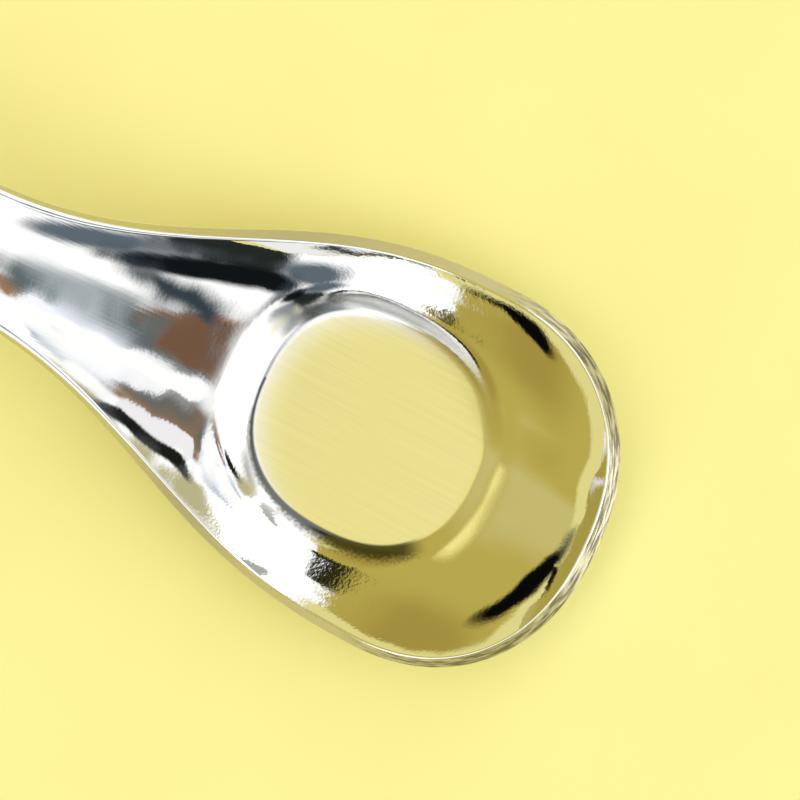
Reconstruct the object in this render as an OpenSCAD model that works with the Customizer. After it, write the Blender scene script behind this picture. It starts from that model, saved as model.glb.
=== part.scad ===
// Flat-bottomed soup spoon, pressed from one sheet of polished stainless steel.
// +X runs to the tip, +Z up; the origin is the centre of the flat it stands on.

/* [Sheet] */

// Thickness of the steel sheet
sheet = 1.9; // [1.6:0.1:2.2]
// Rounding of the ground edge around the bowl
rim_round = 0.2; // [0.1:0.05:0.4]
// Rounding of the polished edge along the handle
grip_round = 0.6; // [0.3:0.05:0.7]

/* [Bowl] */

// Width of the mouth between the inner edges
mouth_w = 41; // [38:0.2:44]
// From the centre of the base to the inner edge at the tip
tip_reach = 30.2; // [28.6:0.2:31.8]
// How far ahead of the centre of the base the mouth is widest
wide_at = 9.6; // [7.8:0.2:11.4]
// How square the tip is in plan, where 2 is a plain oval
tip_power = 2.25; // [2.1:0.05:2.6]
// Height of the inner edge at the tip
tip_h = 7.8; // [7:0.2:9]
// Height of the inner edge at the sides, abreast of the centre of the base
side_h = 7; // [6.2:0.2:8.2]
// How upright the side walls stand, where 2 is a plain arc
side_power = 4; // [3.25:0.25:4.75]
// How the floor sweeps up to the tip, where 1 is a straight ramp
sweep_power = 2.4; // [2.1:0.1:2.7]

/* [Base] */

// Length of the flat pressed into the bottom
base_l = 27.4; // [25.4:0.2:28.4]
// Width of the flat pressed into the bottom
base_w = 24.6; // [22.6:0.2:25.6]
// How square the flat is in plan, where 2 is a plain oval
base_power = 2.3; // [2:0.1:2.6]
// How far the flat is pressed down below the bowl's own bottom
press_d = 0.2; // [0.1:0.05:0.4]
// Width of the wall around the flat at the heel
heel_ring = 3.8; // [3:0.2:4.4]
// Width of that wall towards the tip
toe_ring = 2.6; // [2:0.2:3.2]

/* [Heel and neck] */

// From the centre of the base back to the heel
heel_back = 17.4; // [16.8:0.2:18.4]
// Height of the channel's floor at the heel
heel_h = 4.8; // [4.3:0.1:5.6]
// Slope of the channel at the heel, in degrees
heel_slope = 26; // [22:1:30]
// From the centre of the base back to the neck
neck_back = 50.6; // [48:0.2:53.2]
// Width of the neck between the inner edges
neck_w = 12.2; // [10.8:0.2:13.6]
// Height of the channel's floor at the neck
neck_h = 17.7; // [16.6:0.1:19]
// Slope of the channel at the neck, in degrees
neck_slope = 17.5; // [14:0.5:21]

/* [Handle] */

// From the centre of the base back to the end of the handle
end_back = 74; // [70:1:77]
// Width of the handle at its end between the inner edges
end_w = 12.8; // [11.6:0.2:14]
// Length of the rounded end
end_round_l = 8; // [6:0.5:10]
// Height of the handle's floor at its end
end_h = 24.5; // [22.5:0.5:26.5]
// Slope of the handle at its end, in degrees
end_slope = 12; // [8:1:16]
// Radius of the channel across the handle
channel_r = 7; // [6:0.5:12]

/* [Hidden] */

steel = "#c9cbcc";

// Facets along the tip, along one side, across the channel, along the handle, around its end
// and up the wall of the bowl
tip_count = 15;
side_count = 12;
cross_count = 12;
grip_count = 17;
end_count = 8;
wall_count = 8;

// Where the wall around the flat leaves its inner fillet and enters its crease, as shares of it
fillet_share = 0.25;
crease_share = 0.5;
// Rings over that wall, as shares of it
band_shares = [0, 0.08, 0.16, 0.25, 0.37, 0.5, 0.62, 0.74, 0.87, 1];
band_limit_share = 0.7;
// Where the bowl's rings meet the handle's rows, behind the heel
throat_share = 0.12;
// Where the bowl's own bottom is level, as shares of half the length of the flat
low_back_share = 0.15;
low_front_share = 0.9;
// An edge cannot be rounded by more than this share of the sheet
round_limit_share = 0.42;
// Steps of the rounding at each side of the edge, in degrees
round_steps = [45, 90];
// Step for reading a slope, as a share of the sheet
slope_step_share = 0.01;
// How far outside its edge the section is continued
over_share = 1.5;
// A channel across the handle is a plain arc, and so is its end in plan
arc_power = 2;
end_power = 2.15;

neck_x = -neck_back;
heel_x = -heel_back;
end_x = -end_back;
mouth_r = mouth_w / 2;
neck_r = neck_w / 2;
end_r = end_w / 2;
base_a = base_l / 2;
base_b = base_w / 2;
base_mean = (base_a + base_b) / 2;
low_h = sheet + press_d;
low_back_x = -base_a * low_back_share;
low_front_x = base_a * low_front_share;
throat_x = heel_x - (neck_back - heel_back) * throat_share;
step = sheet * slope_step_share;

tip_knot = [tip_reach, tip_h, 0];
side_knot = [0, side_h, 0];
low_knot = [low_back_x, low_h, 0];
heel_knot = [heel_x, heel_h, -tan(heel_slope)];
neck_knot = [neck_x, neck_h, -tan(neck_slope)];
neck_rim_knot = [neck_x, neck_h + neck_r ^ 2 / (2 * channel_r), -tan(neck_slope)];
end_knot = [end_x, end_h, -tan(end_slope)];

// Shape rules

function mix(a, b, u) = a + (b - a) * u;

function ease(u) =
    let (c = min(max(u, 0), 1))
    c ^ 3 * (10 - 15 * c + 6 * c ^ 2);

// Cubic from knot a to knot b, each a position, a height and a slope
function curve(x, a, b) =
    let (run = b[0] - a[0])
    let (u = (x - a[0]) / run)
    (2 * u ^ 3 - 3 * u ^ 2 + 1) * a[1]
    + (u ^ 3 - 2 * u ^ 2 + u) * run * a[2]
    + (3 * u ^ 2 - 2 * u ^ 3) * b[1]
    + (u ^ 3 - u ^ 2) * run * b[2];

// Half-width of an oval of the given power, at a share u of the way from its middle to its end
function oval(u, power) = max(1 - min(max(u, 0), 1) ^ power, 0) ^ (1 / power);

// Half the plan width between the inner edges
function half_w(x) =
    x > wide_at ? mouth_r * oval((x - wide_at) / (tip_reach - wide_at), tip_power)
    : x > neck_x ? mix(neck_r, mouth_r, ease((x - neck_x) / (wide_at - neck_x)))
    : mix(neck_r, end_r, ease((neck_x - x) / (neck_x - end_x)))
        * oval((end_x + end_round_l - x) / end_round_l, end_power);

// Floor of the channel and of the bowl along the middle, before the flat is pressed
function spine(x) =
    x > low_front_x
        ? mix(low_h, tip_h, ((x - low_front_x) / (tip_reach - low_front_x)) ^ sweep_power)
    : x > low_back_x ? low_h
    : x > heel_x ? curve(x, heel_knot, low_knot)
    : x > neck_x ? curve(x, neck_knot, heel_knot)
    : curve(x, end_knot, neck_knot);

// Height of the edge above that floor
function depth(x) =
    x > 0 ? curve(x, side_knot, tip_knot) - spine(x)
    : x > neck_x ? curve(x, neck_rim_knot, side_knot) - spine(x)
    : half_w(x) ^ 2 / (2 * channel_r);

// From a plain arc in the handle to an upright wall in the bowl, and back at the tip
function section_power(x) =
    x > 0
        ? mix(side_power, tip_power, ease(x / tip_reach))
        : mix(arc_power, side_power, ease((x - neck_x) / (low_back_x - neck_x)));

function spoon_h(x, y) =
    let (share = min(abs(y) / max(half_w(x), step), over_share))
    spine(x) + depth(x) * share ^ section_power(x);

// How many times as far out as the rim of the flat a point lies
function gauge(x, y) =
    (abs(x / base_a) ^ base_power + abs(y / base_b) ^ base_power) ^ (1 / base_power);

// 0 at the heel, 1 towards the tip
function toe_share(x, y) = (1 + (x / base_a) / max(gauge(x, y), slope_step_share)) / 2;

function ring_w(x, y) = mix(heel_ring, toe_ring, toe_share(x, y));

// From 0 on the flat to 1 on the bowl: the slope grows, holds and dies out
function climb_share(u) =
    let (rise = min(max(u, 0), fillet_share))
    let (run = min(max(u, fillet_share), crease_share))
    let (left = 1 - min(max(u, crease_share), 1))
    let (whole = 1 - crease_share)
    let (sum = rise ^ 2 / (2 * fillet_share) + run - fillet_share + (whole - left ^ 2 / whole) / 2)
    sum * 2 / (1 + crease_share - fillet_share);

function inner_h(x, y) =
    let (out = max(gauge(x, y) - 1, 0) * base_mean)
    mix(sheet, spoon_h(x, y), climb_share(out / ring_w(x, y)));

function unit(v) = v / norm(v);

function inner_normal(x, y) =
    unit([
        inner_h(x - step, y) - inner_h(x + step, y),
        inner_h(x, y - step) - inner_h(x, y + step),
        2 * step
    ]);

// Plan positions

tip_line = [
    for (i = [0 : tip_count])
        let (a = 90 * i / tip_count)
        [
            mix(wide_at, tip_reach, cos(a) ^ (2 / tip_power)),
            mouth_r * sin(a) ^ (2 / tip_power)
        ]
];
side_line = [
    for (i = [1 : side_count])
        let (x = mix(wide_at, throat_x, i / side_count))
        [x, half_w(x)]
];
shore = concat(tip_line, side_line);
shore_count = len(shore) - 1;
throat_line = [
    for (i = [1 : cross_count - 1])
        [throat_x, half_w(throat_x) * (1 - 2 * i / cross_count)]
];
// Outer ends of the spokes, from the tip round the +Y side
spokes = concat(
    shore,
    throat_line,
    [for (i = [shore_count : -1 : 1]) [shore[i][0], -shore[i][1]]]
);
spoke_count = len(spokes);

// Distances along a spoke, as multiples of the rim of the flat
function ring_gauges(p) =
    let (reach = gauge(p[0], p[1]))
    let (band = min(ring_w(p[0], p[1]) / base_mean, (reach - 1) * band_limit_share))
    concat(
        [for (s = band_shares) 1 + s * band],
        [for (i = [1 : wall_count]) mix(1 + band, reach, i / wall_count)]
    );

spoke_gauges = [for (p = spokes) ring_gauges(p)];
ring_count = len(band_shares) + wall_count;
bowl_plan = [
    for (r = [0 : ring_count - 1])
        for (j = [0 : spoke_count - 1])
            spokes[j] * spoke_gauges[j][r] / spoke_gauges[j][ring_count - 1]
];

round_x = end_x + end_round_l;
row_xs = concat(
    [for (i = [1 : grip_count]) mix(throat_x, round_x, i / grip_count)],
    [
        for (i = [1 : end_count - 1])
            round_x - end_round_l * sin(90 * i / end_count) ^ (2 / end_power)
    ]
);
row_count = len(row_xs);
grip_plan = [
    for (x = row_xs)
        for (k = [0 : cross_count])
            [x, half_w(x) * (1 - 2 * k / cross_count)]
];

plan = concat([[0, 0]], bowl_plan, grip_plan, [[end_x, 0]]);
plan_count = len(plan);

function ring_id(r, j) = 1 + r * spoke_count + (j % spoke_count);
function row_id(i, k) =
    i == 0
        ? ring_id(ring_count - 1, shore_count + k)
        : 1 + len(bowl_plan) + (i - 1) * (cross_count + 1) + k;
end_id = plan_count - 1;

// The sheet's edge, all the way round
edge_ids = concat(
    [for (j = [0 : shore_count]) ring_id(ring_count - 1, j)],
    [for (i = [1 : row_count]) row_id(i, 0)],
    [end_id],
    [for (i = [row_count : -1 : 1]) row_id(i, cross_count)],
    [for (j = [shore_count + cross_count : spoke_count - 1]) ring_id(ring_count - 1, j)]
);
edge_count = len(edge_ids);

// Points of the inner and outer faces, one sheet apart

normals = [for (p = plan) inner_normal(p[0], p[1])];
inner = [for (p = plan) [p[0], p[1], inner_h(p[0], p[1])]];
outer = [for (i = [0 : plan_count - 1]) inner[i] - sheet * normals[i]];

// Points of the rounded edge between them

function edge_round(x) =
    min(
        mix(grip_round, rim_round, ease((x - neck_x) / (low_back_x - neck_x))),
        sheet * round_limit_share
    );

function edge_point(i, angle, from_outer) =
    let (id = edge_ids[i])
    let (before = inner[edge_ids[(i + edge_count - 1) % edge_count]])
    let (after = inner[edge_ids[(i + 1) % edge_count]])
    let (out = unit(cross(after - before, normals[id])))
    let (r = edge_round(plan[id][0]))
    let (sink = r * (1 - cos(angle)))
    inner[id] + r * sin(angle) * out - (from_outer ? sheet - sink : sink) * normals[id];

edge_rows = [
    for (a = round_steps) [for (i = [0 : edge_count - 1]) edge_point(i, a, false)],
    for (n = [len(round_steps) - 1 : -1 : 0])
        [for (i = [0 : edge_count - 1]) edge_point(i, round_steps[n], true)]
];
edge_row_count = len(edge_rows);
spoon_points = concat(inner, outer, [for (row = edge_rows) each row]);

// Row 0 is the inner face's border and the last one the outer face's
function edge_id(row, i) =
    row == 0 ? edge_ids[i % edge_count]
    : row == edge_row_count + 1 ? plan_count + edge_ids[i % edge_count]
    : 2 * plan_count + (row - 1) * edge_count + (i % edge_count);

inner_faces = concat(
    [for (j = [0 : spoke_count - 1]) [0, ring_id(0, j + 1), ring_id(0, j)]],
    [
        for (r = [0 : ring_count - 2])
            for (j = [0 : spoke_count - 1])
                each [
                    [ring_id(r, j), ring_id(r, j + 1), ring_id(r + 1, j)],
                    [ring_id(r, j + 1), ring_id(r + 1, j + 1), ring_id(r + 1, j)]
                ]
    ],
    [
        for (i = [0 : row_count - 1])
            for (k = [0 : cross_count - 1])
                each [
                    [row_id(i, k), row_id(i, k + 1), row_id(i + 1, k)],
                    [row_id(i, k + 1), row_id(i + 1, k + 1), row_id(i + 1, k)]
                ]
    ],
    [for (k = [0 : cross_count - 1]) [row_id(row_count, k), row_id(row_count, k + 1), end_id]]
);
outer_faces = [for (f = inner_faces) [for (n = [2 : -1 : 0]) plan_count + f[n]]];
edge_faces = [
    for (row = [0 : edge_row_count])
        for (i = [0 : edge_count - 1])
            each [
                [edge_id(row, i), edge_id(row, i + 1), edge_id(row + 1, i)],
                [edge_id(row, i + 1), edge_id(row + 1, i + 1), edge_id(row + 1, i)]
            ]
];
spoon_faces = concat(inner_faces, outer_faces, edge_faces);

module spoon() {
    color(steel)
        polyhedron(points = spoon_points, faces = spoon_faces, convexity = 6);
}

spoon();
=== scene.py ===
"""A flat-bottomed soup spoon pressed from polished stainless sheet, on a pale yellow board."""

from math import degrees, pi, radians, sin, tan

import bpy
from mathutils import Matrix, Vector


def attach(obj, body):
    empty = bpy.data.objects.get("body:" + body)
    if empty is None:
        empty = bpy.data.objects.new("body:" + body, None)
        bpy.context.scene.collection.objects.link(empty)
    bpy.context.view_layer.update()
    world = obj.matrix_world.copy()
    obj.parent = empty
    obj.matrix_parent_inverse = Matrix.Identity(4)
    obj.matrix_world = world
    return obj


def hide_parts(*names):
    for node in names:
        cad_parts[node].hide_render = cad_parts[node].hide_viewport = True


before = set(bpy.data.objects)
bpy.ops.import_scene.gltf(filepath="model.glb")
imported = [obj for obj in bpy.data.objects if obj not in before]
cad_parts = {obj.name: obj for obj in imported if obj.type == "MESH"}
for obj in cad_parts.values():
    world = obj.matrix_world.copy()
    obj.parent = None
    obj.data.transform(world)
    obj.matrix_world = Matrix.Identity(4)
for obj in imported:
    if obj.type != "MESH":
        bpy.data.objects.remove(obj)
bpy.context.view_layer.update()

MM = 0.001

# The spoon's sizes in millimetres, slopes in degrees and plain ratios, as in the part's source
SPOON_MM = {
    "Sheet": 1.9,
    "Rim rounding": 0.2,
    "Grip rounding": 0.6,
    "Mouth width": 41,
    "Tip reach": 30.2,
    "Widest at": 9.6,
    "Tip height": 7.8,
    "Side height": 7,
    "Base length": 27.4,
    "Base width": 24.6,
    "Press depth": 0.2,
    "Heel ring": 3.8,
    "Toe ring": 2.6,
    "Heel back": 17.4,
    "Heel height": 4.8,
    "Neck back": 50.6,
    "Neck width": 12.2,
    "Neck height": 17.7,
    "End back": 74,
    "End width": 12.8,
    "End rounding": 8,
    "End height": 24.5,
    "Channel radius": 7,
}
SPOON_SLOPES = {
    "Heel slope": 26,
    "Neck slope": 17.5,
    "End slope": 12,
}
SPOON_RATIOS = {
    "Tip power": 2.25,
    "Side power": 4,
    "Arc power": 2,
    "Base power": 2.3,
    "Sweep power": 2.4,
    "End power": 2.15,
    "Low back share": 0.15,
    "Low front share": 0.9,
    "Fillet share": 0.25,
    "Crease share": 0.5,
    "Round limit share": 0.42,
}

# Facets along the spoon, across its inner face and over the rounding at each side of its edge,
# and how many times finer the rules are worked out, so that reflections stay smooth
ROWS = 340
ACROSS = 120
ROUND_STEPS = 4
FINER = 3
# How strongly rows crowd towards both ends, as an angle of a sine, and columns towards the walls
ROW_CROWD = 0.97 * pi / 2
COLUMN_CROWD = 0.5 / pi
# Points closer than this are one
WELD_MM = 0.0005

# A smooth fade, a mix of two colours, and the sockets that the two go into
FADE = {"interpolation_type": "SMOOTHSTEP"}
BLEND = {"data_type": "RGBA", "out": 2}
FROM, TO = 6, 7


def paint(code):
    """A colour written as sRGB hex, in linear light."""
    parts = [int(code[i : i + 2], 16) / 255 for i in (1, 3, 5)]
    return [c / 12.92 if c <= 0.04045 else ((c + 0.055) / 1.055) ** 2.4 for c in parts] + [1.0]


class Wire:
    """One output of a node. Arithmetic on wires adds the Math nodes for it."""

    def __init__(self, tree, made, name):
        self.tree, self.made, self.socket = tree, made, made.outputs[name]

    def out(self, name):
        return Wire(self.tree, self.made, name)

    def of(self, operation, *others):
        return node(self.tree, "ShaderNodeMath", self, *others, operation=operation)

    def within(self, low, high):
        return self.of("MAXIMUM", low).of("MINIMUM", high)

    def __add__(self, other):
        return self.of("ADD", other)

    def __sub__(self, other):
        return self.of("SUBTRACT", other)

    def __mul__(self, other):
        return self.of("MULTIPLY", other)

    def __truediv__(self, other):
        return self.of("DIVIDE", other)

    def __pow__(self, other):
        return self.of("POWER", other)

    def __gt__(self, other):
        return self.of("GREATER_THAN", other)

    def __neg__(self):
        return self.of("MULTIPLY", -1.0)

    def __rsub__(self, other):
        return -self + other

    __radd__ = __add__
    __rmul__ = __mul__


def node(tree, kind, *inputs, out=0, **settings):
    """Adds a node with its settings, and its inputs in order or as (socket, value)."""
    made = tree.nodes.new(kind)
    for name, value in settings.items():
        setattr(made, name, value)
    for place, value in enumerate(inputs):
        if isinstance(value, tuple):
            place, value = value
        if isinstance(value, Wire):
            tree.links.new(value.socket, made.inputs[place])
        elif value is not None:
            made.inputs[place].default_value = value
    return Wire(tree, made, out) if made.outputs else made


# Finishes

# Orange peel of some 0.4 mm, slow waves of some 6 mm, and the soft border of the flat
PEEL_PER_MM = 2.6
PEEL_DEPTH_MM = 0.006
WAVES_PER_MM = 0.17
WAVE_DEPTH_MM = 0.08
BORDER_ROLL_MM = 0.6
# Buffing lines are drawn a third of a millimetre apart, coarser than real ones, so that they show
LINES_PER_MM = 3
LINE_LENGTH_MM = 20
LINE_DEPTH_MM = 0.006
# How rough the mirror is, and what lines, brushing and wear add to it
MIRROR_ROUGHNESS = 0.035
LINE_ROUGHNESS = 0.05
BRUSHED_ROUGHNESS = 0.12
WORN_ROUGHNESS = 0.05

# The belt's streaks, drawn coarser than real ones too, run round the middle of the bowl
STREAKS_PER_MM = 3.6
STREAK_LENGTH_MM = 2.7
BOWL_MIDDLE_MM = 4
BOWL_RADIUS_MM = 27
SIDE_STREAK_DEPTH_MM = 0.004
FRONT_STREAK_DEPTH_MM = 0.012
BELT_ROUGHNESS = 0.34
EDGE_POLISH = 0.26

# The board's blotches are some 20 mm across
BLOTCHES_PER_MM = 0.045


def finish_tree(name):
    """A new finish and its node tree, still empty."""
    finish = bpy.data.materials.new(name)
    finish.use_nodes = True
    finish.node_tree.nodes.clear()
    return finish, finish.node_tree


def polished_stainless():
    """Mirror-polished stainless steel: sharp reflections that the buffing leaves a little uneven.

    The walls keep a fine orange peel from the press, the handle and the flat fine lines along the
    spoon, and the flat is only brushed, so it shows its surroundings as a soft glow. A dark
    reflection is painted into the colour of the fillet around the flat.
    """
    finish, tree = finish_tree("mirror-polished stainless steel")
    place = node(tree, "ShaderNodeTexCoord", out="Object")
    x = node(tree, "ShaderNodeSeparateXYZ", place)
    y = x.out("Y")

    # A gauge that is 1 on the flat's border, and the bearing of a point around the flat
    along = x / (SPOON_MM["Base length"] * MM / 2)
    aside = y / (SPOON_MM["Base width"] * MM / 2)
    power = SPOON_RATIOS["Base power"]
    gauge = along.of("ABSOLUTE") ** power + aside.of("ABSOLUTE") ** power
    bearing = aside.of("ARCTAN2", along)

    # Where each zone of the finish starts to fade in, and where it is whole
    zones = {
        "flat": (gauge, 1.28, 0.95),
        "ring": (gauge, 1.6, 1.15),
        "foot": (gauge, 2.3, 1.5),
        "border": (gauge, 0.45, 1.65),
        "middle": (y.of("ABSOLUTE"), 11 * MM, 6 * MM),
        "left": (y, 2 * MM, 9 * MM),
        "heel": (x, 5 * MM, -5 * MM),
        "worn": (x, 2 * MM, -12 * MM),
        "grip": (x, -18 * MM, -38 * MM),
        "past heel": (x, -20 * MM, -8 * MM),
        "short of tip": (x, 18 * MM, 6 * MM),
    }
    zone = {name: node(tree, "ShaderNodeMapRange", *span, **FADE) for name, span in zones.items()}
    flat, heel, left, worn, grip = (zone[name] for name in ("flat", "heel", "left", "worn", "grip"))
    bare = 1 - flat

    # The peel is strongest on the side walls, the brushing on the flat, then around it at the heel
    walls = (0.25 + zone["past heel"] * 0.75) * (0.4 + zone["short of tip"] * 0.6)
    satin = flat.of("MAXIMUM", zone["ring"] * (0.3 + heel.of("MAXIMUM", left) * 0.7))
    satin = satin.of("MAXIMUM", heel * zone["foot"] * zone["middle"])
    roll = worn.of("MAXIMUM", left) * zone["border"]

    # Orange peel and slow waves from the press, and buffing lines along the spoon
    peel = node(tree, "ShaderNodeTexNoise", place, ("Scale", PEEL_PER_MM / MM), ("Detail", 1.0))
    waves = node(tree, "ShaderNodeTexNoise", place, ("Scale", WAVES_PER_MM / MM), ("Detail", 1.0))
    drawn = node(
        tree, "ShaderNodeCombineXYZ", x / (LINE_LENGTH_MM * MM), y * (LINES_PER_MM / MM)
    )
    lines = node(
        tree, "ShaderNodeTexNoise", drawn, ("Scale", 1.0), ("Detail", 3.0), noise_dimensions="2D"
    )

    # A dark reflection painted into the colour of the fillet around the flat, on one side of the
    # inner
    # face and widest towards the tip: how far it reaches, where it starts, and where it ends
    dark_reflection_reach = node(tree, "ShaderNodeMapRange", bearing, -2.9, -0.95, 0.06, 0.5)
    dark_reflection_mask = node(tree, "ShaderNodeSeparateXYZ", place.out("Normal"), out="Z") > 0.0
    for span in (
        ((gauge - 1.02) / dark_reflection_reach + peel * 0.5, 1.25, 0.6),
        (gauge, 0.98, 1.04),
        (bearing, -0.62, -0.85),
    ):
        dark_reflection_mask = dark_reflection_mask * node(tree, "ShaderNodeMapRange", *span, **FADE)

    # Clean and brushed steel, and the near-black of the reflection painted into the fillet
    clean, brushed, reflected_dark = paint("#e4e4e2"), paint("#dbdbd9"), paint("#23271a")
    steel = node(tree, "ShaderNodeMix", flat * lines, (FROM, clean), (TO, brushed), **BLEND)
    # The painted dark reflection is mixed over the steel's colour here
    shade = node(tree, "ShaderNodeMix", dark_reflection_mask * 0.85, (FROM, steel), (TO, reflected_dark), **BLEND)
    height = (
        lines * grip * LINE_DEPTH_MM
        + peel * bare * walls * PEEL_DEPTH_MM
        + waves * bare * WAVE_DEPTH_MM
        + roll * BORDER_ROLL_MM
    )
    matt = BRUSHED_ROUGHNESS + lines * LINE_ROUGHNESS + worn * WORN_ROUGHNESS
    rough = MIRROR_ROUGHNESS + lines * grip * LINE_ROUGHNESS + satin * matt
    shader = node(
        tree,
        "ShaderNodeBsdfPrincipled",
        ("Base Color", shade),
        ("Metallic", 1.0),
        ("Roughness", rough),
        ("Normal", node(tree, "ShaderNodeBump", ("Distance", MM), ("Height", height))),
    )
    node(tree, "ShaderNodeOutputMaterial", shader)
    return finish


def ground_steel():
    """Stainless steel ground on a belt: dull grey, with short dark streaks at the bowl's front.

    Towards the handle the edge is polished too.
    """
    finish, tree = finish_tree("belt-ground stainless edge")
    x = node(tree, "ShaderNodeSeparateXYZ", node(tree, "ShaderNodeTexCoord", out="Object"))
    y, z = x.out("Y"), x.out("Z")
    front = node(tree, "ShaderNodeMapRange", x, 6 * MM, 20 * MM, **FADE)
    grip = node(tree, "ShaderNodeMapRange", x, -16 * MM, -36 * MM, **FADE)

    around = y.of("ARCTAN2", x - BOWL_MIDDLE_MM * MM) * (BOWL_RADIUS_MM / STREAK_LENGTH_MM)
    drawn = node(tree, "ShaderNodeCombineXYZ", around, z * (STREAKS_PER_MM / MM))
    streaks = node(
        tree, "ShaderNodeTexNoise", drawn, ("Scale", 1.0), ("Detail", 3.0), noise_dimensions="2D"
    )
    streaks = node(tree, "ShaderNodeMapRange", streaks, 0.35, 0.62)

    pale, dark = paint("#c8c3b5"), paint("#5a564f")
    shade = node(tree, "ShaderNodeMix", streaks * front * 0.8, (FROM, pale), (TO, dark), **BLEND)
    height = streaks * (SIDE_STREAK_DEPTH_MM + front * FRONT_STREAK_DEPTH_MM)
    shader = node(
        tree,
        "ShaderNodeBsdfPrincipled",
        ("Base Color", shade),
        ("Metallic", 1.0),
        ("Roughness", BELT_ROUGHNESS - grip * EDGE_POLISH),
        ("Normal", node(tree, "ShaderNodeBump", ("Distance", MM), ("Height", height))),
    )
    node(tree, "ShaderNodeOutputMaterial", shader)
    return finish


def painted_board():
    """Smooth board with matt yellow paint, a little blotchy from the roller."""
    finish, tree = finish_tree("matt yellow roller-painted board")
    place = node(tree, "ShaderNodeTexCoord", out="Object")
    blotches = node(
        tree, "ShaderNodeTexNoise", place, ("Scale", BLOTCHES_PER_MM / MM), ("Detail", 4.0)
    )
    thick, thin = paint("#f0e997"), paint("#f5efa2")
    shade = node(tree, "ShaderNodeMix", blotches, (FROM, thick), (TO, thin), **BLEND)
    shader = node(
        tree,
        "ShaderNodeBsdfPrincipled",
        ("Base Color", shade),
        ("Roughness", 0.7),
        ("Specular IOR Level", 0.1),
    )
    node(tree, "ShaderNodeOutputMaterial", shader)
    return finish


# The spoon


def ease(value, start, stop, first, last):
    """A smooth change from first to last, as a value goes from start to stop."""
    u = ((value - start) / (stop - start)).within(0.0, 1.0)
    return first + (last - first) * (u * u * u * (10 - u * (15 - u * 6)))


def oval(share, power):
    """The half width of an oval of width 2, at a share of its half length."""
    return (1 - share.within(0.0, 1.0) ** power).of("MAXIMUM", 0.0) ** (power**-1.0)


def curve(x, a, b):
    """Cubic from knot a to knot b, each a position, a height and a slope, and level beyond both."""
    run = b[0] - a[0]
    u = ((x - a[0]) / run).within(0.0, 1.0)
    rise = u * u * (3 - u * 2)
    lead = u * (u - 1) * (u - 1)
    trail = u * u * (u - 1)
    return a[1] + (b[1] - a[1]) * rise + run * (lead * a[2] + trail * b[2])


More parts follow.
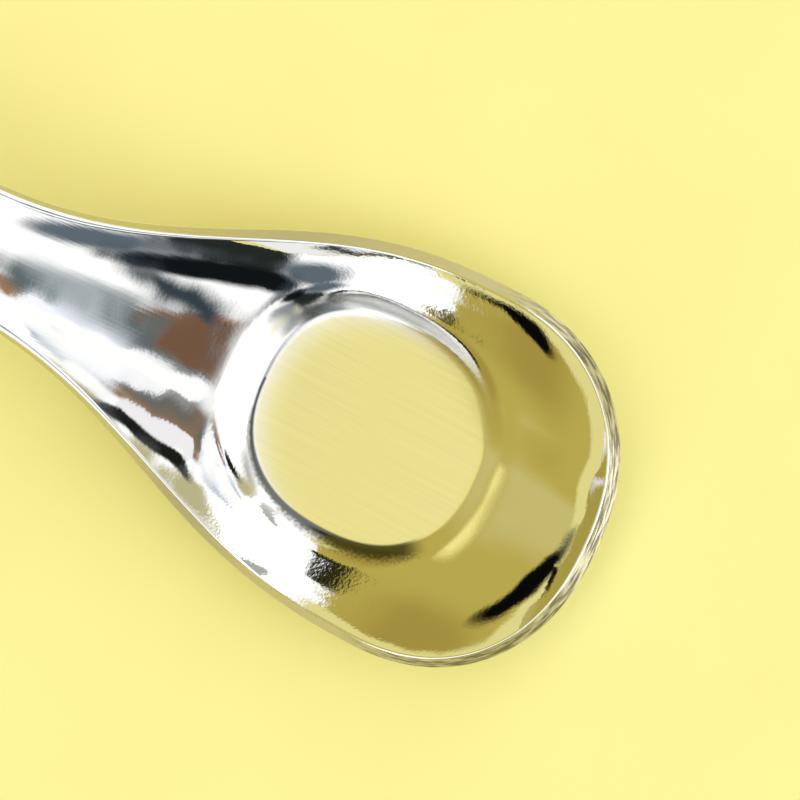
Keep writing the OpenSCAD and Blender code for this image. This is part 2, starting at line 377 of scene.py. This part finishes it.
def inner_face(tree, size, slope):
    """The sheet's inner face as a fine grid of points, from the spoon's shape rules."""
    sheet = size["Sheet"]
    tip_x = size["Tip reach"]
    wide_x = size["Widest at"]
    heel_x = -size["Heel back"]
    neck_x = -size["Neck back"]
    end_x = -size["End back"]
    base_a = size["Base length"] / 2
    base_b = size["Base width"] / 2
    low_h = sheet + size["Press depth"]
    low_back_x = -base_a * size["Low back share"]
    low_front_x = base_a * size["Low front share"]

    # Plan positions, denser towards both ends and towards the side walls
    grid = node(tree, "GeometryNodeMeshGrid", 2.0, 2.0, ROWS * FINER + 1, ACROSS * FINER + 1)
    place = node(tree, "ShaderNodeSeparateXYZ", node(tree, "GeometryNodeInputPosition"))
    along = (place * ROW_CROWD).of("SINE") / sin(ROW_CROWD)
    x = (tip_x + end_x) / 2 + along * (tip_x - end_x) / 2
    share = place.out("Y") + (place.out("Y") * pi).of("SINE") * COLUMN_CROWD

    # Half the width between the inner edges
    half_w = (
        ease(x, neck_x, wide_x, size["Neck width"] / 2, size["Mouth width"] / 2)
        * oval((x - wide_x) / (tip_x - wide_x), size["Tip power"])
        * ease(x, end_x, neck_x, size["End width"] / size["Neck width"], 1.0)
        * oval((end_x + size["End rounding"] - x) / size["End rounding"], size["End power"])
    )
    y = share * half_w

    # Floor along the middle: three curves end to end, then a sweep up to the tip
    end = (end_x, size["End height"], -slope["End slope"])
    neck = (neck_x, size["Neck height"], -slope["Neck slope"])
    heel = (heel_x, size["Heel height"], -slope["Heel slope"])
    low = (low_back_x, low_h, 0.0)
    sweep = ((x - low_front_x) / (tip_x - low_front_x)).of("MAXIMUM", 0.0) ** size["Sweep power"]
    spine = (
        curve(x, end, neck)
        + (curve(x, neck, heel) - size["Neck height"])
        + (curve(x, heel, low) - size["Heel height"])
        + (size["Tip height"] - low_h) * sweep
    )

    # The edge's height above the floor: a round channel up to the neck, then a line of its own
    channel_d = half_w**2.0 / (size["Channel radius"] * 2)
    neck_d = (size["Neck width"] / 2) ** 2.0 / (size["Channel radius"] * 2)
    neck_rim = (neck_x, size["Neck height"] + neck_d, -slope["Neck slope"])
    side = (0.0, size["Side height"], 0.0)
    tip = (tip_x, size["Tip height"], 0.0)
    rim_h = curve(x, neck_rim, side) + (curve(x, side, tip) - size["Side height"])
    depth = channel_d + (rim_h - spine - channel_d) * (x > neck_x)

    # How upright the walls stand
    wall_power = ease(x, neck_x, low_back_x, size["Arc power"], size["Side power"]).of(
        "MINIMUM", ease(x, 0.0, tip_x, size["Side power"], size["Tip power"])
    )
    spoon_h = spine + depth * share.of("ABSOLUTE") ** wall_power

    # The flat, and the wall around it: its slope grows, holds and dies out into the bowl
    plan = size["Base power"]
    gauge = (x / base_a).of("ABSOLUTE") ** plan + (y / base_b).of("ABSOLUTE") ** plan
    gauge = gauge ** (plan**-1.0)
    # From 0 at the heel to 1 at the toe, with a least gauge so that the middle divides by no zero
    toe = 0.5 + x / base_a / gauge.of("MAXIMUM", 0.01) / 2
    ring_w = size["Heel ring"] + (size["Toe ring"] - size["Heel ring"]) * toe
    beyond = (gauge - 1).of("MAXIMUM", 0.0) * ((base_a + base_b) / 2) / ring_w
    fillet, crease = size["Fillet share"], size["Crease share"]
    growing = beyond.of("MINIMUM", fillet)
    holding = beyond.within(fillet, crease) - fillet
    dying = 1 - crease
    left = 1 - beyond.within(crease, 1.0)
    climb = growing**2.0 / (fillet * 2) + holding + (dying - left**2.0 / dying) / 2
    climb = climb * 2 / (1 + crease - fillet)
    z = sheet + (spoon_h - sheet) * climb
    at = node(tree, "ShaderNodeCombineXYZ", x, y, z)
    return node(tree, "GeometryNodeSetPosition", grid, ("Position", at))


def press_tree(steel, edge):
    """The whole sheet around its inner face, with a rounded and ground edge."""
    tree = bpy.data.node_groups.new("pressed spoon", "GeometryNodeTree")
    for name in [*SPOON_MM, *SPOON_SLOPES, *SPOON_RATIOS]:
        tree.interface.new_socket(name=name, in_out="INPUT", socket_type="NodeSocketFloat")
    tree.interface.new_socket(name="Spoon", in_out="OUTPUT", socket_type="NodeSocketGeometry")
    sizes = node(tree, "NodeGroupInput")
    size = {name: sizes.out(name) for name in [*SPOON_MM, *SPOON_RATIOS]}
    slope = {name: sizes.out(name).of("TANGENT") for name in SPOON_SLOPES}
    sheet = size["Sheet"]
    face = inner_face(tree, size, slope)

    # A closed section for every row: inner face, +Y edge, outer face, -Y edge
    edge_steps = 2 * ROUND_STEPS + 1
    half = ACROSS + edge_steps
    columns = 2 * half + 1
    sleeve = node(tree, "GeometryNodeMeshGrid", 2.0, 2.0, ROWS + 1, columns)
    number = node(tree, "GeometryNodeInputIndex")
    row = (number / columns + 0.5 / columns).of("FLOOR")
    column = number - row * columns
    back = column > half - 0.5
    walk = column - back * half
    cross = walk.of("MINIMUM", ACROSS)
    cross = cross + (ACROSS - cross * 2) * back
    turn = (walk - ACROSS).of("MAXIMUM", 0.0)
    turn = turn + (edge_steps - turn * 2) * back
    lower = turn > ROUND_STEPS + 0.5
    angle = (turn - lower) * (pi / 2 / ROUND_STEPS)

    def spot(row, cross):
        """The number of the fine grid's point at a row and a column of the sleeve's inner face."""
        return row * (FINER * (ACROSS * FINER + 1)) + cross * FINER

    # Place and normal on the inner face, and the way out over the edge. The first and the last
    # row close to a point, so there the run of the edge goes round to the other side.
    first = (0.5 - row) > 0.0
    last = row > ROWS - 0.5
    ahead = spot(row + 1 - last * 2, cross + (ACROSS - cross * 2) * last)
    behind = spot(row - 1 + first * 2, cross + (ACROSS - cross * 2) * first)
    centred = spot(row, cross + (ACROSS / 2 - cross) * (first + last))
    position = node(tree, "GeometryNodeInputPosition")
    upward = node(tree, "GeometryNodeInputNormal")
    at, normal, after, before = (
        node(tree, "GeometryNodeSampleIndex", face, value, index, data_type="FLOAT_VECTOR")
        for value, index in (
            (position, spot(row, cross)),
            (upward, centred),
            (position, ahead),
            (position, behind),
        )
    )
    run = node(tree, "ShaderNodeVectorMath", after, before, operation="SUBTRACT")
    outward = node(tree, "ShaderNodeVectorMath", normal, run, operation="CROSS_PRODUCT")
    outward = node(tree, "ShaderNodeVectorMath", outward, operation="NORMALIZE")
    side = (cross > ACROSS / 2) * 2 - 1

    # Down through the sheet and out over the rounding
    rounding = ease(
        node(tree, "ShaderNodeSeparateXYZ", at),
        -size["Neck back"],
        -size["Base length"] / 2 * size["Low back share"],
        size["Grip rounding"],
        size["Rim rounding"],
    ).of("MINIMUM", sheet * size["Round limit share"])
    upright, lean = angle.of("COSINE"), angle.of("SINE") * side
    sink = rounding * (1 - upright) + (sheet - rounding * 2) * lower
    facing = node(tree, "ShaderNodeVectorMath", normal, upright, operation="MULTIPLY")
    facing = node(tree, "ShaderNodeVectorMath", outward, lean, facing, operation="MULTIPLY_ADD")
    at = node(tree, "ShaderNodeVectorMath", normal, -sink, at, operation="MULTIPLY_ADD")
    at = node(tree, "ShaderNodeVectorMath", outward, rounding * lean, at, operation="MULTIPLY_ADD")
    spoon = node(tree, "GeometryNodeSetPosition", sleeve, ("Position", at))

    # Kept on the points while doubles merge: the ground strip of the edge, and the true normals
    strip = (turn > ROUND_STEPS - 0.5) * ((ROUND_STEPS + 1.5 - turn) > 0.0)
    for name, value, kind in (("edge strip", strip, "FLOAT"), ("facing", facing, "FLOAT_VECTOR")):
        spoon = node(
            tree,
            "GeometryNodeStoreNamedAttribute",
            spoon,
            ("Name", name),
            ("Value", value),
            data_type=kind,
        )
    strip = node(tree, "GeometryNodeInputNamedAttribute", "edge strip", data_type="FLOAT")
    facing = node(tree, "GeometryNodeInputNamedAttribute", "facing", data_type="FLOAT_VECTOR")
    spoon = node(tree, "GeometryNodeMergeByDistance", spoon, ("Distance", WELD_MM * MM))
    spoon = node(tree, "GeometryNodeSetShadeSmooth", spoon, ("Shade Smooth", True))
    spoon = node(
        tree,
        "GeometryNodeSetMeshNormal",
        spoon,
        ("Custom Normal", facing),
        mode="FREE",
        domain="POINT",
    )
    spoon = node(tree, "GeometryNodeRemoveAttribute", spoon, ("Name", "facing"))
    spoon = node(tree, "GeometryNodeRealizeInstances", spoon)
    spoon = node(tree, "GeometryNodeSetMaterial", spoon, ("Material", steel))
    spoon = node(
        tree, "GeometryNodeSetMaterial", spoon, ("Selection", strip > 0.75), ("Material", edge)
    )
    node(tree, "NodeGroupOutput", spoon)
    return tree


def press_spoon(steel, edge):
    """The spoon as one plain mesh, pressed by the tree at the sizes above."""
    tree = press_tree(steel, edge)
    blank = bpy.data.objects.new("spoon_blank", bpy.data.meshes.new("spoon_blank"))
    bpy.context.scene.collection.objects.link(blank)
    press = blank.modifiers.new("press", "NODES")
    press.node_group = tree
    values = {name: mm * MM for name, mm in SPOON_MM.items()}
    values.update({name: radians(a) for name, a in SPOON_SLOPES.items()})
    values.update(SPOON_RATIOS)
    for socket in tree.interface.items_tree:
        if socket.in_out == "INPUT":
            press[socket.identifier] = float(values[socket.name])
    made = blank.evaluated_get(bpy.context.evaluated_depsgraph_get())
    mesh = bpy.data.meshes.new_from_object(made)
    blank.modifiers.remove(press)
    bpy.data.objects.remove(blank)
    spoon = bpy.data.objects.new("soup_spoon", mesh)
    bpy.context.scene.collection.objects.link(spoon)
    return spoon


spoon = press_spoon(polished_stainless(), ground_steel())
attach(spoon, "root")
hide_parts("spoon")

# The board that the spoon stands on, a hair under it, so that the two faces don't coincide

BOARD_REACH = 3.0
BOARD_TOP = -0.01 * MM

board_mesh = bpy.data.meshes.new("board")
corners = [(-1, -1), (1, -1), (1, 1), (-1, 1)]
board_mesh.from_pydata(
    [(BOARD_REACH * i, BOARD_REACH * j, BOARD_TOP) for i, j in corners], [], [(0, 1, 2, 3)]
)
board = bpy.data.objects.new("board", board_mesh)
bpy.context.scene.collection.objects.link(board)
board_mesh.materials.append(painted_board())

# Studio light: a dome with soft boxes and cards, in degrees off the vertical towards +X and +Y

DOME = ("#ffffff", 1.4)
# Straight cards: colour, strength, softness of the border, and from where to where
CARDS = [
    # The board's far end and a soft box over it, ahead of the tip
    ("#ffffff", 1.4, 4, {"x": (45, 130), "y": (-130, 130)}),
    ("#efe592", 0.95, 6, {"x": (45, 130), "lean": (78, 120)}),
    ("#a8adb2", 0.8, 8, {"x": (42, 60), "y": (-62, -32)}),
    ("#ffffff", 4.0, 10, {"x": (50, 82), "y": (-25, 45)}),
    # A soft box at the +Y side
    ("#ffffff", 3.0, 10, {"x": (-14, 16), "y": (56, 92)}),
    # Yellow behind the handle, seen in the front of the bowl, with white beside it
    ("#cdbb5a", 1.0, 3, {"x": (-130, -19.5), "y": (-130, 130)}),
    ("#ffffff", 1.4, 3, {"x": (-21.3, -12), "y": (50, 100)}),
    ("#ffffff", 1.4, 3, {"x": (-23, -12), "y": (60, 100)}),
    ("#ffffff", 3.0, 3, {"x": (-22, -8), "y": (-90, -52)}),
    ("#ffffff", 1.4, 4, {"x": (-25, -12), "y": (-100, -64)}),
    # Darker and paler yellow within it
    ("#b5a048", 1.0, 20, {"x": (-66, -28), "y": (30, 80)}),
    ("#b5a048", 1.0, 20, {"x": (-56, -26), "y": (-72, -36)}),
    ("#dccf7e", 1.0, 12, {"x": (-90, -32), "y": (-24, -2)}),
    # What the flat shows
    ("#f8eb92", 1.2, 7, {"x": (-30.5, -8), "y": (-18, 6)}),
    # Dark lines at the border of the yellow
    ("#3d3a20", 0.5, 3, {"x": (-21.8, -17.6), "y": (28, 52)}),
    ("#6b6334", 0.6, 3, {"x": (-22.5, -20), "y": (-56, -42)}),
    # The board's far end around the horizon behind the handle
    ("#f3e998", 1.05, 2, {"x": (-130, -21), "rim": (76.5, 120)}),
    ("#f3e998", 1.05, 3, {"x": (-24, 16), "y": (-130, -40), "rim": (81.5, 120)}),
]
# Oval cards, seen in the handle and the heel: colour, strength, softness of the border as a share,
# middle, half sizes and tilt
OVALS = [
    # Black towards -Y and brown overhead
    ("#292f2c", 1.0, 0.25, (33, -82), (13, 32), -8),
    ("#14181a", 1.0, 0.3, (28, -50), (10, 12.5), 0),
    ("#cb7e28", 1.0, 0.31, (24.2, -6.9), (7.2, 3.4), -50),
    ("#a5805f", 1.0, 0.12, (24, 27), (16, 24), 0),
    # Blue-grey and grey-green in a band from -Y to +Y
    ("#6a757f", 1.0, 0.4, (15, -66), (11, 13), 0),
    ("#3a464e", 1.0, 0.8, (25.1, -20), (2.9, 32), -7),
    ("#637072", 1.0, 0.31, (20, 12.4), (11, 29), -13),
    ("#babeb6", 1.0, 0.24, (17, 89), (32, 5), 44),
    ("#a5b7ce", 1.0, 0.46, (20.5, 54), (5.3, 6.1), 14),
    # White, yellow and black towards +Y
    ("#fefbff", 1.13, 0.1, (33.8, 42), (1.7, 14), 5),
    ("#cfc89a", 1.0, 0.27, (25.6, 74.4), (6.2, 13), 7),
    ("#1c1e18", 1.0, 0.2, (36, 56), (15, 3.2), -62),
    ("#fafaff", 1.2, 0.12, (26.7, 16.8), (2.5, 19), -6),
    ("#ffffff", 1.3, 0.5, (0.4, 63), (4.5, 28), 53),
    # White and pale grey overhead
    ("#d1dae1", 1.0, 0.85, (20, 16.7), (3.5, 34), -11),
    ("#ffffff", 1.3, 0.1, (13.7, 42), (1.6, 24), 4),
    ("#f0f3ff", 1.4, 0.85, (17, 28.5), (2.4, 17), -2),
    ("#f0f3ff", 1.4, 0.45, (23.8, 29), (4.4, 24), -5),
    ("#ffffff", 1.3, 0.1, (16.2, 42.8), (7.1, 5.3), -82),
    ("#ffffff", 1.3, 0.38, (26.7, 57), (2, 7.8), 7),
    ("#ffffff", 1.3, 0.1, (22.3, 18.5), (3.3, 26), 17),
    ("#ffffff", 1.3, 0.85, (23.9, 33), (3.6, 25), 5),
    # A small brown one overhead
    ("#80604a", 1.0, 0.35, (25.4, -6.9), (2.9, 2), 20),
    # Two dark cards low behind the handle, seen under the rim at the tip
    ("#0a0a08", 1.0, 0.25, (-70.5, 9), (22, 4.4), 64),
    ("#0a0a08", 1.0, 0.25, (-38, -70), (14.5, 4.2), -45),
]
# How far the far end of the board seems to rise towards +Y, in degrees a degree
RIM_RISE = 0.08


def glow(code, strength):
    """The light of a card, from its colour and strength."""
    return [c * strength for c in paint(code)[:3]] + [1.0]


world = bpy.data.worlds.new("studio")
bpy.context.scene.world = world
world.use_nodes = True
dome = world.node_tree
dome.nodes.clear()
look = node(dome, "ShaderNodeSeparateXYZ", node(dome, "ShaderNodeTexCoord", out="Generated"))
lean = look.out("Z").of("ARCCOSINE") * degrees(1)
# How level the look is, never quite zero, because it divides
level = (1 - look.out("Z") ** 2.0).of("MAXIMUM", 0.000001).of("SQRT")
towards = {"x": lean * look.out("X") / level, "y": lean * look.out("Y") / level, "lean": lean}
towards["rim"] = lean + towards["y"] * RIM_RISE
sky = glow(*DOME)
for code, strength, soft, places in CARDS:
    cover = 1.0
    for axis, (start, stop) in places.items():
        for border, half_soft in ((start, soft / 2), (stop, -soft / 2)):
            span = (towards[axis], border - half_soft, border + half_soft)
            cover = node(dome, "ShaderNodeMapRange", *span, **FADE) * cover
    sky = node(dome, "ShaderNodeMix", cover, (FROM, sky), (TO, glow(code, strength)), **BLEND)
heading = node(dome, "ShaderNodeCombineXYZ", towards["x"], towards["y"])
for code, strength, soft, middle, half_sizes, tilt in OVALS:
    inside = node(
        dome,
        "ShaderNodeMapping",
        heading,
        ("Location", (*middle, 0)),
        ("Rotation", (0, 0, radians(tilt))),
        ("Scale", (*half_sizes, 1)),
        vector_type="TEXTURE",
    )
    away = node(dome, "ShaderNodeVectorMath", inside, operation="LENGTH", out="Value")
    cover = node(dome, "ShaderNodeMapRange", away, 1 + soft, 1 - soft, **FADE)
    sky = node(dome, "ShaderNodeMix", cover, (FROM, sky), (TO, glow(code, strength)), **BLEND)
node(dome, "ShaderNodeOutputWorld", node(dome, "ShaderNodeBackground", sky, 1.0))

# Camera: leaning from the vertical towards the tip and a little to +Y, turned about its own axis

LENS_MM = 120
SENSOR_MM = 36
LEAN_X = 19
LEAN_Y = 5.76
TURN = 27.16
PIXELS_PER_MM = 8.793
FLAT_PIXEL = (366.5, 429.5)
FRAME_PIXELS = 800
NEAREST_MM = 10

back_axis = Vector((tan(radians(LEAN_X)), tan(radians(LEAN_Y)), 1)).normalized()
level_x = Vector((1, 0, 0))
level_x = (level_x - back_axis * level_x.dot(back_axis)).normalized()
right_axis = Matrix.Rotation(radians(TURN), 3, back_axis) @ level_x
up_axis = back_axis.cross(right_axis)
distance = LENS_MM * FRAME_PIXELS / SENSOR_MM / PIXELS_PER_MM * MM
flat_floor = Vector((0, 0, SPOON_MM["Sheet"] * MM))
slide_x = (FLAT_PIXEL[0] - FRAME_PIXELS / 2) / PIXELS_PER_MM * MM
slide_y = (FRAME_PIXELS / 2 - FLAT_PIXEL[1]) / PIXELS_PER_MM * MM
stand = flat_floor + back_axis * distance - right_axis * slide_x - up_axis * slide_y
facing = Matrix((right_axis, up_axis, back_axis)).transposed().to_4x4()

camera_data = bpy.data.cameras.new("camera")
camera_data.lens = LENS_MM
camera_data.sensor_width = SENSOR_MM
camera_data.clip_start = NEAREST_MM * MM
camera = bpy.data.objects.new("camera", camera_data)
camera.matrix_world = Matrix.Translation(stand) @ facing
bpy.context.scene.collection.objects.link(camera)
bpy.context.scene.camera = camera
bpy.context.scene.view_settings.view_transform = "Standard"
